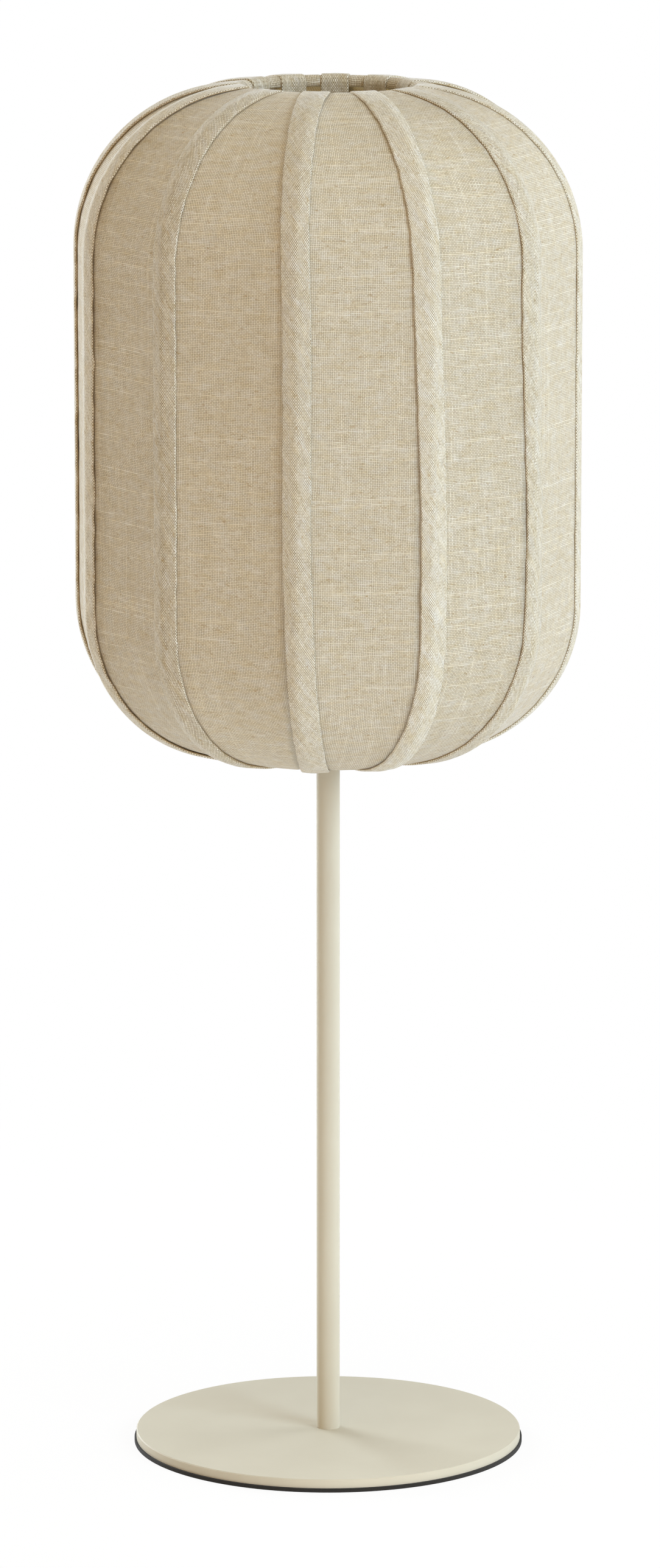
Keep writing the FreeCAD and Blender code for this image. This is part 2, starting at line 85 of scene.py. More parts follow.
# Name, height it aims at, bearing and rise in degrees, distance, side, power in red, green and blue.
soft_boxes = (
    ("key_light", 0.42, 50.0, 22.0, 3.4, 1.6, (50.0, 63.0, 76.0)),
    ("right_light", 0.42, 112.0, 10.0, 3.4, 1.8, (38.0, 40.0, 43.0)),
    ("left_light", 0.42, -140.0, 10.0, 3.4, 1.8, (99.0, 112.0, 125.0)),
    ("front_light", 0.42, -15.0, 5.0, 3.4, 1.8, (13.0, 7.3, 5.0)),
    ("top_light", 0.42, 0.0, 80.0, 3.4, 1.8, (24.5, 25.7, 25.2)),
    ("table_light", 0.01, 18.0, 4.0, 0.28, 0.15, (0.127, 0.131, 0.134)),
)


def new_material(name):
    """New node material, its node tree and its Principled shader."""
    material = bpy.data.materials.new(name)
    material.use_nodes = True
    tree = material.node_tree
    shader = tree.nodes["Principled BSDF"]
    return material, tree, shader


def add_node(tree, kind, settings=None, **inputs):
    """New node: settings are its properties, inputs are sockets or values by input name."""
    node = tree.nodes.new(kind)
    for key, value in (settings or {}).items():
        setattr(node, key, value)
    for key, value in inputs.items():
        socket = node.inputs[int(key[1:])] if key[0] == "_" else node.inputs[key]
        if isinstance(value, bpy.types.NodeSocket):
            tree.links.new(value, socket)
        else:
            socket.default_value = value
    return node


def calculate(tree, operation, first, second=0.0, third=0.0):
    """Math node on sockets or numbers, returning its output socket."""
    node = add_node(tree, "ShaderNodeMath", {"operation": operation}, _0=first, _1=second, _2=third)
    return node.outputs[0]


def rescale(tree, value, low, high, to_low, to_high):
    """Smooth step from one range to another."""
    kind = {"interpolation_type": "SMOOTHSTEP"}
    node = add_node(tree, "ShaderNodeMapRange", kind, _0=value, _1=low, _2=high, _3=to_low, _4=to_high)
    return node.outputs[0]


def blend(tree, share, first, second):
    """Colour mix of sockets or colours by a share."""
    node = add_node(tree, "ShaderNodeMix", {"data_type": "RGBA"}, _0=share, _6=first, _7=second)
    return node.outputs[2]


def seen_as_paper(tree):
    """1 for rays from the camera, mirrors and glass, 0 for rays that carry light to the lamp."""
    path = tree.nodes.new("ShaderNodeLightPath")
    seen = path.outputs["Is Camera Ray"]
    for ray in ("Is Glossy Ray", "Is Transmission Ray"):
        seen = calculate(tree, "MAXIMUM", seen, path.outputs[ray])
    return seen


def object_place(tree):
    """Object coordinates, which are the lamp's own metres."""
    return tree.nodes.new("ShaderNodeTexCoord").outputs["Object"]


floor_mesh = bpy.data.meshes.new("studio_floor")
ways = ((-1, -1), (1, -1), (1, 1), (-1, 1))
corners = [(x * floor_reach, y * floor_reach, -floor_gap) for x, y in ways]
floor_mesh.from_pydata(corners, [], [(0, 1, 2, 3)])
floor = bpy.data.objects.new("studio_floor", floor_mesh)
bpy.context.scene.collection.objects.link(floor)
floor_material, tree, shader = new_material("studio_paper")
shader.inputs["Base Color"].default_value = floor_colour
shader.inputs["Roughness"].default_value = 0.9
shader.inputs["Specular IOR Level"].default_value = 0.0
paper = add_node(tree, "ShaderNodeEmission", Color=pure_white, Strength=1.0)
place = object_place(tree)
away = add_node(tree, "ShaderNodeVectorMath", {"operation": "LENGTH"}, _0=place).outputs["Value"]
unshaded = rescale(tree, away, *shadow_reach, paper_share, 1.0)
share = calculate(tree, "MULTIPLY", seen_as_paper(tree), unshaded)
mix = add_node(tree, "ShaderNodeMixShader", _0=share, _1=shader.outputs[0], _2=paper.outputs[0])
# From below the floor is clear, so that the underside of the lamp can be seen.
clear = tree.nodes.new("ShaderNodeBsdfTransparent")
below = tree.nodes.new("ShaderNodeNewGeometry").outputs["Backfacing"]
mix = add_node(tree, "ShaderNodeMixShader", _0=below, _1=mix.outputs[0], _2=clear.outputs[0])
tree.links.new(mix.outputs[0], tree.nodes["Material Output"].inputs["Surface"])
floor_mesh.materials.append(floor_material)

world = bpy.data.worlds.new("studio_air")
bpy.context.scene.world = world
world.use_nodes = True
tree = world.node_tree
way = tree.nodes.new("ShaderNodeTexCoord").outputs["Generated"]
depth = add_node(tree, "ShaderNodeSeparateXYZ", Vector=way).outputs[1]
behind = rescale(tree, depth, *air_turn, 0.0, 1.0)
air = tree.nodes["Background"]
tree.links.new(blend(tree, behind, air_front, air_back), air.inputs["Color"])
white = add_node(tree, "ShaderNodeBackground", Color=pure_white, Strength=1.0)
mix = add_node(
    tree, "ShaderNodeMixShader", _0=seen_as_paper(tree), _1=air.outputs[0], _2=white.outputs[0])
tree.links.new(mix.outputs[0], tree.nodes["World Output"].inputs["Surface"])


def soft_box(name, aim, bearing, rise, distance, size, power):
    """Square area light turned to a height on the lamp's axis and hidden from the camera.

    It stands at a bearing from the front and a rise above that height, both in degrees. The power
    is given for red, green and blue.
    """
    turn = math.radians(bearing)
    level = math.cos(math.radians(rise))
    way = np.array((math.sin(turn) * level, -math.cos(turn) * level, math.sin(math.radians(rise))))
    data = bpy.data.lights.new(name, "AREA")
    data.size = size
    data.energy = max(power)
    data.color = [share / max(power) for share in power]
    light = bpy.data.objects.new(name, data)
    light.location = distance * way + (0.0, 0.0, aim)
    light.rotation_euler = (math.radians(90 - rise), 0.0, turn)
    light.visible_camera = False
    bpy.context.scene.collection.objects.link(light)


for box in soft_boxes:
    soft_box(*box)


# Base pad
# A disc of black felt glued under the base, so that the steel does not scratch the table.
# It is cut a little wider than the plate and shows as a dark line under its edge.
felt_black = (0.005, 0.005, 0.004, 1)
felt_worn = (0.030, 0.026, 0.021, 1)
felt_stops = (0.25, 0.8)


def noise(tree, place, scale, detail=2.0, roughness=0.5):
    """Noise texture on a coordinate socket, returning its grey value."""
    texture = add_node(
        tree, "ShaderNodeTexNoise", Vector=place, Scale=scale, Detail=detail, Roughness=roughness)
    return texture.outputs[0]


def ramp(tree, value, stops):
    """Colour ramp through (position, colour) stops, returning its colour."""
    node = add_node(tree, "ShaderNodeValToRGB", Fac=value)
    points = node.color_ramp.elements
    points[0].position, points[0].color = stops[0]
    points[1].position, points[1].color = stops[-1]
    for position, colour in stops[1:-1]:
        points.new(position).color = colour
    return node.outputs[0]


def two_tones(tree, shader, pattern, dark, pale, stops=(0.3, 0.7)):
    """Base colour that goes from dark to pale between two stops of a grey pattern."""
    tone = ramp(tree, pattern, [(stops[0], dark), (stops[1], pale)])
    tree.links.new(tone, shader.inputs["Base Color"])


def bumped(tree, shader, height, strength, distance):
    """Fine relief: a height pattern turned into a normal for the shader."""
    bump = add_node(tree, "ShaderNodeBump", Height=height, Strength=strength, Distance=distance)
    tree.links.new(bump.outputs["Normal"], shader.inputs["Normal"])


def dress(names, material):
    """Gives CAD nodes their finish."""
    for name in names:
        mesh = nodes[name].data
        mesh.materials.clear()
        mesh.materials.append(material)


felt, tree, shader = new_material("black_felt")
fibres = noise(tree, object_place(tree), 2600.0, 4.0, 0.7)
two_tones(tree, shader, fibres, felt_black, felt_worn, felt_stops)
shader.inputs["Roughness"].default_value = 1.0
shader.inputs["Sheen Weight"].default_value = 0.05
bumped(tree, shader, fibres, 0.6, 0.0004)
dress(["base_pad"], felt)

# Base disc and pole
# A laser cut steel plate and a slim steel tube, both powder coated in the same cream.
# The coat is satin, with a faint orange peel and a slow drift of its colour.
cream_deep = (0.577, 0.540, 0.435, 1)
cream_pale = (0.605, 0.570, 0.463, 1)


def uneven_gloss(tree, shader, pattern, low, high):
    """Roughness that goes from one value to another with a grey pattern."""
    rough = add_node(tree, "ShaderNodeMapRange", Value=pattern, _3=low, _4=high)
    tree.links.new(rough.outputs[0], shader.inputs["Roughness"])


coat, tree, shader = new_material("cream_powder_coat")
place = object_place(tree)
cloud = noise(tree, place, 22.0, 3.0)
two_tones(tree, shader, cloud, cream_deep, cream_pale)
peel = noise(tree, place, 1300.0, 2.0, 0.55)
uneven_gloss(tree, shader, peel, 0.50, 0.66)
shader.inputs["Specular IOR Level"].default_value = 0.15
bumped(tree, shader, peel, 0.04, 0.0002)
dress(["base_disc", "pole_tube"], coat)

# Screw, plug, nipple, washer and nut
# Turned and pressed steel with bright zinc plating, hidden under the base and in the lampholder.
# Tool marks run round the pieces.
zinc_dull = (0.46, 0.46, 0.45, 1)
zinc_bright = (0.66, 0.66, 0.64, 1)
zinc_stretch = (1.0, 1.0, 30.0)


def tool_marks(tree, stretch, scale):
    """Noise that is drawn out round the pole's axis, as a turning tool or a die leaves it."""
    drawn_out = add_node(tree, "ShaderNodeMapping", Vector=object_place(tree), Scale=stretch)
    return noise(tree, drawn_out.outputs[0], scale, 3.0)


zinc, tree, shader = new_material("zinc_steel")
marks = tool_marks(tree, zinc_stretch, 220.0)
two_tones(tree, shader, marks, zinc_dull, zinc_bright)
shader.inputs["Metallic"].default_value = 1.0
uneven_gloss(tree, shader, marks, 0.28, 0.46)
dress(["base_screw", "pole_foot_plug", "holder_nipple", "holder_lock_washer", "holder_lock_nut"], zinc)

# Grommet, lampholder housing and shade ring
# Injection moulded thermoplastic in a cream that goes with the coat, with a fine spark texture.
# The grommet snaps into the pole's foot, and the ring screws on the housing over the fitter.
plastic_deep = (0.68, 0.65, 0.56, 1)
plastic_pale = (0.74, 0.71, 0.62, 1)
plastic, tree, shader = new_material("cream_plastic")
spark = noise(tree, object_place(tree), 2200.0, 2.0)
two_tones(tree, shader, spark, plastic_deep, plastic_pale)
uneven_gloss(tree, shader, spark, 0.42, 0.56)
bumped(tree, shader, spark, 0.15, 0.0001)
dress(["cord_grommet", "holder_cap", "holder_skirt", "shade_ring"], plastic)

# Lampholder core
# Pressed and glazed porcelain that carries the live pieces. It sits loose in the housing.
glaze_deep = (0.80, 0.78, 0.72, 1)
glaze_pale = (0.86, 0.85, 0.80, 1)
porcelain, tree, shader = new_material("glazed_porcelain")
glaze = noise(tree, object_place(tree), 140.0, 3.0)
two_tones(tree, shader, glaze, glaze_deep, glaze_pale)
shader.inputs["Roughness"].default_value = 0.16
bumped(tree, shader, glaze, 0.08, 0.0004)
dress(["holder_core"], porcelain)

# Contacts
# Screw shell, tongue and terminal screws in drawn brass sheet, slightly tarnished.
# They sit in the porcelain core and carry the current to the bulb's cap and tip.
brass_tarnished = (0.56, 0.38, 0.14, 1)
brass_bright = (0.80, 0.60, 0.27, 1)
brass, tree, shader = new_material("drawn_brass")
tarnish = noise(tree, object_place(tree), 300.0, 4.0, 0.6)
two_tones(tree, shader, tarnish, brass_tarnished, brass_bright)
shader.inputs["Metallic"].default_value = 1.0
uneven_gloss(tree, shader, tarnish, 0.45, 0.25)
dress(["terminal_screws", "holder_screw_shell", "centre_contact"], brass)

# Bulb
# An opal glass globe cemented in a drawn aluminium screw cap, with a black glass insulator and a
# soldered tip. The lamp is not lit.
opal_deep = (0.86, 0.85, 0.81, 1)
opal_pale = (0.91, 0.90, 0.87, 1)
opal, tree, shader = new_material("opal_glass")
milk = noise(tree, object_place(tree), 60.0, 2.0)
two_tones(tree, shader, milk, opal_deep, opal_pale)
shader.inputs["Roughness"].default_value = 0.12
shader.inputs["Coat Weight"].default_value = 0.4
shader.inputs["Coat Roughness"].default_value = 0.06
dress(["bulb_glass"], opal)

cap_dull = (0.62, 0.61, 0.58, 1)
cap_bright = (0.80, 0.79, 0.76, 1)
cap_stretch = (1.0, 1.0, 25.0)
drawn, tree, shader = new_material("drawn_aluminium")
marks = tool_marks(tree, cap_stretch, 260.0)
two_tones(tree, shader, marks, cap_dull, cap_bright)
shader.inputs["Metallic"].default_value = 1.0
uneven_gloss(tree, shader, marks, 0.22, 0.40)
dress(["bulb_cap", "bulb_tip"], drawn)

insulator_black = (0.010, 0.010, 0.012, 1)
insulator_grey = (0.030, 0.030, 0.034, 1)
insulator_glass, tree, shader = new_material("black_glass")
swirl = noise(tree, object_place(tree), 400.0, 3.0)
two_tones(tree, shader, swirl, insulator_black, insulator_grey)
shader.inputs["Roughness"].default_value = 0.10
dress(["bulb_insulator"], insulator_glass)

# Wire cage
# Steel wire bent and spot welded: two rings, twelve ribs and the three armed fitter.
# It is lacquered white so that no rust or shadow shows through the linen.
wire_radius = (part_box("top_ring")[1].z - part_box("top_ring")[0].z) / 2
rings = []
for name, up in (("top_ring", 1), ("bottom_ring", -1)):
    low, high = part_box(name)
    rings.append(((high.y - low.y) / 2 - wire_radius, (low.z + high.z) / 2, up))
rib_names = sorted(name for name in nodes if name.startswith("rib_wire_"))
lacquer_deep = (0.73, 0.71, 0.65, 1)
lacquer_pale = (0.80, 0.78, 0.72, 1)

lacquer, tree, shader = new_material("white_lacquer")
runs = noise(tree, object_place(tree), 500.0, 2.0)
two_tones(tree, shader, runs, lacquer_deep, lacquer_pale)
shader.inputs["Roughness"].default_value = 0.38
bumped(tree, shader, runs, 0.15, 0.0002)
dress(["top_ring", "bottom_ring", "fitter_ring", "fitter_arms", *rib_names], lacquer)

# Linen panels
# Twelve gores of plain woven slub linen in its natural colour, stretched between the ribs, rolled
# round both rings and glued. The threads run level and upright at the middle of each gore.
linen_thickness = 0.0010
cloth_gap = 0.00015
panel_hem = math.radians(110.0)
draw_in = math.radians(4.0)
seam_gap = 0.0006
seam_allowance = 0.006
hem_steps = 18
shoulder_steps = 56
side_steps = 60
across_steps = 40
ripple_depth = 0.00022
ripple_reach = 0.012
ripple_lengths = (0.019, 0.027, 0.041)
ripple_slip = 0.013
billow_lengths = (0.11, 0.17)
billow_slant = 0.4
billow_seed = 100
hem_puff = 0.0011
puff_from = 0.0045
puff_growth = 0.004
puff_middle = 0.006
puff_spread = 0.012
doubled_cloth = 0.75 * seam_allowance
doubled_fade = 0.5 * seam_allowance
grain_turn = 0.018
panel_tones = 0.035
# Painted shade, partly glue stain: the tone falls on cloth rolled into the rings that faces inwards.
glue_tone = 0.11
panel_seed = 36535
hem_radius = wire_radius + cloth_gap + linen_thickness
end_rows = hem_steps + shoulder_steps
row_count = 2 * end_rows + side_steps - 1


def node_points(name):
    """A CAD node's corner points as an array of rows (x, y, z)."""
    mesh = nodes[name].data
    points = np.empty(len(mesh.vertices) * 3, np.float32)
    mesh.vertices.foreach_get("co", points)
    return points.reshape(-1, 3).astype(float)


def bearing_of(name):
    """Angle about the pole of a piece that is even about its own upright plane, from the front."""
    middle = node_points(name).mean(axis=0)
    return math.atan2(middle[0], -middle[1])


rib_bearings = np.unwrap([bearing_of(name) for name in rib_names])
panel_names = sorted(name for name in nodes if name.startswith("linen_panel_"))
seam_radius = max(np.hypot(*node_points(name)[:, :2].T).max() for name in panel_names)


def gore_face(swing, half_bay, hem_turn):
    """Outer face of a gore at angles from its middle, as rows from the top hem to the bottom hem.

    The side radius follows the flat chord, seam * cos(half bay) / cos(swing). A hem arc round the
    ring runs from inside the opening to the lean angle, which falls from draw_in in the middle to
    nothing at the seams. What the hem's turn has past a quarter turn hangs straight from the arc.
    A shoulder arc tangent to it runs on until it is upright, and a straight side joins both
    shoulders. Returns radius, height and the normal's radial and upright shares.
    """
    swing = np.broadcast_to(swing, (row_count, np.shape(swing)[-1]))
    side = seam_radius * math.cos(half_bay) / np.cos(swing)
    lean = draw_in * np.clip(1 - (swing / half_bay) ** 2, 0, None)
    share = np.append(np.linspace(0, 1, hem_steps), np.linspace(0, 1, shoulder_steps + 1)[1:])[:, None]
    on_hem = np.arange(end_rows)[:, None] < hem_steps
    faces = []
    ends = (slice(end_rows), slice(None, -end_rows - 1, -1))
    for (ring_radius, ring_height, up), rows in zip(rings, ends):
        tilt = lean[rows]
        slope = np.sin(tilt)
        shoulder = (side[rows] - ring_radius - hem_radius * slope) / (1 - slope)
        set_back = np.where(on_hem, 0, shoulder - hem_radius)
        bend = np.where(on_hem, hem_radius, shoulder)
        first = np.where(on_hem, -hem_turn, tilt)
        last = np.where(on_hem, tilt, math.pi / 2)
        turn = first + share * (last - first)
        angle = np.maximum(turn, -math.pi / 2)
        hang = bend * (angle - turn)
        out = ring_radius - set_back * slope + bend * np.sin(angle)
        height = ring_height + up * (bend * np.cos(angle) - hang - set_back * np.cos(tilt))
        faces.append(np.stack([out, height, np.sin(angle), up * np.cos(angle)]))
    top, bottom = faces
    down = np.linspace(0, 1, side_steps + 1)[1:-1, None]
    height = top[1, -1] + down * (bottom[1, -1] - top[1, -1])
    wall = np.stack([side[end_rows:-end_rows], height, np.ones_like(height), np.zeros_like(height)])
    return np.concatenate([top, wall, bottom[:, ::-1]], axis=1)


def waves(seed, lengths, along):
    """Sum of sine waves of the given lengths with random phases, scaled to about -1 to 1."""
    draw = np.random.default_rng(seed)
    phases = draw.uniform(0, 2 * math.pi, len(lengths))
    total = sum(np.sin(2 * math.pi * along / length + phase) for length, phase in zip(lengths, phases))
    return total / len(lengths)


def run_along(out, height):
    """Distance down the rows of a face, counted from its middle."""
    steps = np.hypot(np.diff(out, axis=0), np.diff(height, axis=0))
    run = np.vstack([np.zeros((1, out.shape[1])), np.cumsum(steps, axis=0)])
    return run - run[-1] / 2


def grid_mesh(name, points, threads, **cloth):
    """Quad mesh of a grid of points (rows, columns, 3).

    A UV map holds the thread distances in metres, and attributes what the cloth is like at each
    point: how sheer it is, 0 to 1, the tone of its part of the bolt with painted shade where it faces
    into the rings, and how much brown it gets from glue stain and painted crease shade.
    """
    rows, columns = points.shape[:2]
    mesh = bpy.data.meshes.new(name)
    index = np.arange(rows * columns).reshape(rows, columns)
    quads = np.stack([index[:-1, :-1], index[1:, :-1], index[1:, 1:], index[:-1, 1:]], axis=-1)
    quads = quads.reshape(-1, 4)
    mesh.vertices.add(rows * columns)
    mesh.vertices.foreach_set("co", points.reshape(-1))
    mesh.loops.add(quads.size)
    mesh.loops.foreach_set("vertex_index", quads.reshape(-1))
    mesh.polygons.add(len(quads))
    mesh.polygons.foreach_set("loop_start", np.arange(0, quads.size, 4))
    mesh.update(calc_edges=True)
    mesh.polygons.foreach_set("use_smooth", np.ones(len(quads), bool))
    layer = mesh.uv_layers.new(name="threads")
    layer.data.foreach_set("uv", threads.reshape(-1, 2)[quads.reshape(-1)].reshape(-1))
    for key, value in cloth.items():
        values = np.broadcast_to(value, (rows, columns)).reshape(-1)
        mesh.attributes.new(key, "FLOAT", "POINT").data.foreach_set("value", values)
    piece = bpy.data.objects.new(name, mesh)
    bpy.context.scene.collection.objects.link(piece)
    return piece


def thicken(piece, thickness, offset):
    """Gives a sheet its real thickness."""
    solid = piece.modifiers.new("cloth_thickness", "SOLIDIFY")
    solid.thickness = thickness
    solid.offset = offset
    solid.use_even_offset = True


def linen_gore(name, first, last, seed):
    """Panel between two rib bearings: a gore's face, moved a little along its normal.

    It moves by ripples, a sum of sines that dies away exponentially from both seams, by a slow billow
    between them, and by a bell curve over the rolled hem, which puffs up between the tapes.
    The threads are turned from the level by a small random angle, as no gore is cut quite straight,
    and start at a random place of the bolt. Both seam allowances lie under a gore's right edge, where
    the doubled cloth lets no light in. At the left edge the light fades in over the width of an
    allowance. What is rolled into the rings and faces inwards is darker, partly glue stain and partly
    painted shade.
    """
    middle = (first + last) / 2
    half_bay = (last - first) / 2
    reach = half_bay - seam_gap / 2 / seam_radius
    swing = np.linspace(-reach, reach, across_steps + 1)
    out, height, normal_out, normal_up = gore_face(swing, half_bay, panel_hem)
    across = out * np.sin(swing)
    along = run_along(out, height)
    edge = out * np.sin(reach) - np.abs(across)
    seam_share = np.exp(-edge / ripple_reach)
    ripple = waves(seed, ripple_lengths, along + ripple_slip * np.sign(swing))
    billow = waves(seed + billow_seed, billow_lengths, along + billow_slant * across)
    away = ripple_depth * normal_out ** 2 * (ripple * seam_share + billow * (1 - seam_share))
    from_end = np.abs(along).max(axis=0) - np.abs(along)
    beside_tape = np.clip((edge - puff_from) / puff_growth, 0, 1)
    away = away + hem_puff * beside_tape * np.exp(-((from_end - puff_middle) / puff_spread) ** 2)
    out = out + away * normal_out
    height = height + away * normal_up
    bearing = middle + swing
    points = np.stack([out * np.sin(bearing), -out * np.cos(bearing), height], axis=-1)
    draw = np.random.default_rng(seed)
    turn = draw.normal(0, grain_turn)
    threads = np.stack([across - turn * along, along + turn * across], axis=-1) + draw.uniform(0, 1, 2)
    shut = np.where(across > 0, doubled_cloth, 0)
    fade = np.where(across > 0, doubled_fade, seam_allowance)
    sheer = np.clip((edge - shut) / fade, 0, 1)
    # Random tone of the bolt, less painted shade and glue stain where the cloth faces inwards in the
    # rings.
    tone = draw.normal(0, panel_tones) - glue_tone * np.clip(-normal_out, 0, 1)
    piece = grid_mesh(name, points, threads, sheer=sheer, bolt_tone=tone, glue=0.0)
    thicken(piece, linen_thickness, -1.0)
    return piece, points, 2 * np.abs(across).max(), 2 * np.abs(along).max()


thread_dark = (0.240, 0.190, 0.120, 1)
thread_tan = (0.480, 0.408, 0.285, 1)
thread_flax = (0.690, 0.624, 0.483, 1)
thread_pale = (0.960, 0.924, 0.806, 1)
# Brown of the flecks, also used for glue stain with painted shade in the tapes' creases.
stain_and_shade_brown = (0.500, 0.365, 0.180, 1)
tint_spread = (-0.07, -0.23, -0.68)
through_tint = (1.0, 0.94, 0.83, 1)
no_light = (0.0, 0.0, 0.0, 1)
drift_scale = 45.0
drift_threads = 1.4
top_range = (-0.3, 0.3)
lane_step = 7.31
axis_layer = 17.0
slub_layer = 41.0
tone_run = 170.0
slub_run = 7.0
slub_range = (0.56, 0.70)
slub_breaks = (0.36, 0.58, 0.35, 1.15)
crossing_slub = 0.22
weft_streaks = (0.42, 1.0, 1.0)
fleck_scale = 560.0
fleck_range = (0.57, 0.70)
patch_scale = 240.0
patch_tone = -0.18
over_tone = 0.11
# Painted shade where two thread gaps cross, partly the open weave itself.
hole_shade = 0.24
loose_scale = 210.0
loose_range = (0.36, 0.64, 0.55, 1.35)


def thread_noise(tree, lane, run, scale, layer, detail):
    """Noise along one thread: its lane across, the scaled distance along it, and a layer."""
    along = calculate(tree, "MULTIPLY", run, scale)
    place = add_node(tree, "ShaderNodeCombineXYZ", _0=lane, _1=along, _2=layer)
    return noise(tree, place.outputs[0], 1.0, detail, 0.7)


def linen_weave(name, pitches, gap_shades, thread_tone, slub_tone, fleck_share, level, see_through):
    """Plain weave on the thread distances of the UV map.

    Dividing the distances by the pitch gives thread numbers, shifted a little by noise. The sine
    of half a turn per thread is zero in the gaps, and the product of both sines tells by its sign
    which thread lies on top. Painted shade darkens the tone by one less the sine's square towards
    every gap, and most where two gaps cross, where it is partly the open weave itself. Each thread
    has its own tone, which drifts along its length, and here and there it swells to a pale slub.
    Flecks, patches of another tint, and glue stain with painted shade in the tapes' creases lie over
    it, and part of the light comes through the cloth where it is sheer. Noise and gaps count from
    their mean, which is a half, and a quarter where two gaps cross.
    """
    material, tree, shader = new_material(name)
    times = {"operation": "MULTIPLY"}
    threads = add_node(tree, "ShaderNodeUVMap", {"uv_map": "threads"}).outputs[0]
    streaks = add_node(tree, "ShaderNodeVectorMath", times, _0=threads, _1=weft_streaks).outputs[0]
    place = object_place(tree)
    drift = add_node(tree, "ShaderNodeTexNoise", Vector=place, Scale=drift_scale, Detail=2.0)
    shift = add_node(tree, "ShaderNodeSeparateColor", Color=drift.outputs[1])
    split = add_node(tree, "ShaderNodeSeparateXYZ", Vector=threads)
    counts = []
    for axis, pitch in enumerate(pitches):
        count = calculate(tree, "DIVIDE", split.outputs[axis], pitch)
        counts.append(calculate(tree, "MULTIPLY_ADD", shift.outputs[axis], drift_threads, count))
    swell = [calculate(tree, "SINE", calculate(tree, "MULTIPLY", count, math.pi)) for count in counts]
    gaps = []
    for value in swell:
        sunk = calculate(tree, "MULTIPLY", value, -1.0)
        gaps.append(calculate(tree, "MULTIPLY_ADD", value, sunk, 1.0))
    over = calculate(tree, "MULTIPLY", swell[0], swell[1])
    on_top = rescale(tree, over, *top_range, 0.0, 1.0)
    tones = []
    slubs = []
    for axis in (0, 1):
        lane = calculate(tree, "MULTIPLY", calculate(tree, "FLOOR", counts[axis]), lane_step)
        run = split.outputs[1 - axis]
        layer = axis_layer * axis
        tones.append(thread_noise(tree, lane, run, tone_run, layer, 3.0))
        slub = thread_noise(tree, lane, run, slub_run, layer + slub_layer, 1.0)
        slub = rescale(tree, slub, *slub_range, 0.0, slub_tone)
        slub = calculate(tree, "MULTIPLY", slub, rescale(tree, tones[axis], *slub_breaks))
        slubs.append(calculate(tree, "MULTIPLY", slub, calculate(tree, "POWER", swell[axis], 2.0)))
    tone = add_node(tree, "ShaderNodeMix", _0=on_top, _2=tones[1], _3=tones[0]).outputs[0]
    fleck = noise(tree, streaks, fleck_scale, 4.0, 0.7)
    fleck = rescale(tree, fleck, *fleck_range, 0.0, fleck_share)
    slub = add_node(tree, "ShaderNodeMix", _0=on_top, _2=slubs[1], _3=slubs[0]).outputs[0]
    crossing = calculate(tree, "MAXIMUM", slubs[0], slubs[1])
    slub = calculate(tree, "MULTIPLY_ADD", crossing, crossing_slub, slub)
    tone = calculate(tree, "MULTIPLY_ADD", calculate(tree, "SUBTRACT", tone, 0.5), thread_tone, slub)
    tone = calculate(tree, "MULTIPLY_ADD", over, over_tone, tone)
    patch = noise(tree, streaks, patch_scale, 4.0, 0.72)
    tone = calculate(tree, "MULTIPLY_ADD", calculate(tree, "SUBTRACT", patch, 0.5), patch_tone, tone)
    # Painted shade towards the gaps between threads, deepest where two gaps cross, partly the open
    # weave.
    hole = calculate(tree, "MULTIPLY_ADD", gaps[0], gaps[1], -0.25)
    depth = calculate(tree, "MULTIPLY", hole, hole_shade)
    for gap, share in zip(gaps, gap_shades):
        depth = calculate(tree, "MULTIPLY_ADD", calculate(tree, "SUBTRACT", gap, 0.5), share, depth)
    loose = rescale(tree, noise(tree, place, loose_scale, 3.0, 0.6), *loose_range)
    tone = calculate(tree, "MULTIPLY_ADD", depth, calculate(tree, "MULTIPLY", loose, -1.0), tone)
    # The bolt's random tone, with painted shade where the cloth faces inwards in the rings.
    bolt_tone = add_node(tree, "ShaderNodeAttribute", {"attribute_name": "bolt_tone"}).outputs["Fac"]
    tone = calculate(tree, "ADD", calculate(tree, "ADD", tone, bolt_tone), level)
    shades = [(0.0, thread_dark), (0.3, thread_tan), (0.6, thread_flax), (1.0, thread_pale)]
    colour = ramp(tree, tone, shades)
    colour = blend(tree, fleck, colour, stain_and_shade_brown)
    # Glue stain and painted crease shade, in the flecks' brown.
    glue = add_node(tree, "ShaderNodeAttribute", {"attribute_name": "glue"}).outputs["Fac"]
    colour = blend(tree, glue, colour, stain_and_shade_brown)
    least_tint = [1 - spread / 2 for spread in tint_spread]
    added = {"operation": "MULTIPLY_ADD"}
    tint = add_node(tree, "ShaderNodeVectorMath", added, _0=patch, _1=tint_spread, _2=least_tint)
    dyed = {"data_type": "RGBA", "blend_type": "MULTIPLY"}
    colour = add_node(tree, "ShaderNodeMix", dyed, _0=1.0, _6=colour, _7=tint.outputs[0]).outputs[2]
    tree.links.new(colour, shader.inputs["Base Color"])
    shader.inputs["Roughness"].default_value = 0.92
    shader.inputs["Specular IOR Level"].default_value = 0.1
    shader.inputs["Sheen Weight"].default_value = 0.45
    shader.inputs["Sheen Roughness"].default_value = 0.35
    height = calculate(tree, "POWER", calculate(tree, "ABSOLUTE", over), 0.5)
    bumped(tree, shader, height, 0.2, 0.0003)
    warm = add_node(tree, "ShaderNodeMix", dyed, _0=1.0, _6=colour, _7=through_tint).outputs[2]
    sheer = add_node(tree, "ShaderNodeAttribute", {"attribute_name": "sheer"}).outputs["Fac"]
    glow = add_node(tree, "ShaderNodeBsdfTranslucent", Color=blend(tree, sheer, no_light, warm))
    mix = add_node(tree, "ShaderNodeMixShader", _0=see_through, _1=shader.outputs[0], _2=glow.outputs[0])
    tree.links.new(mix.outputs[0], tree.nodes["Material Output"].inputs["Surface"])
    return material


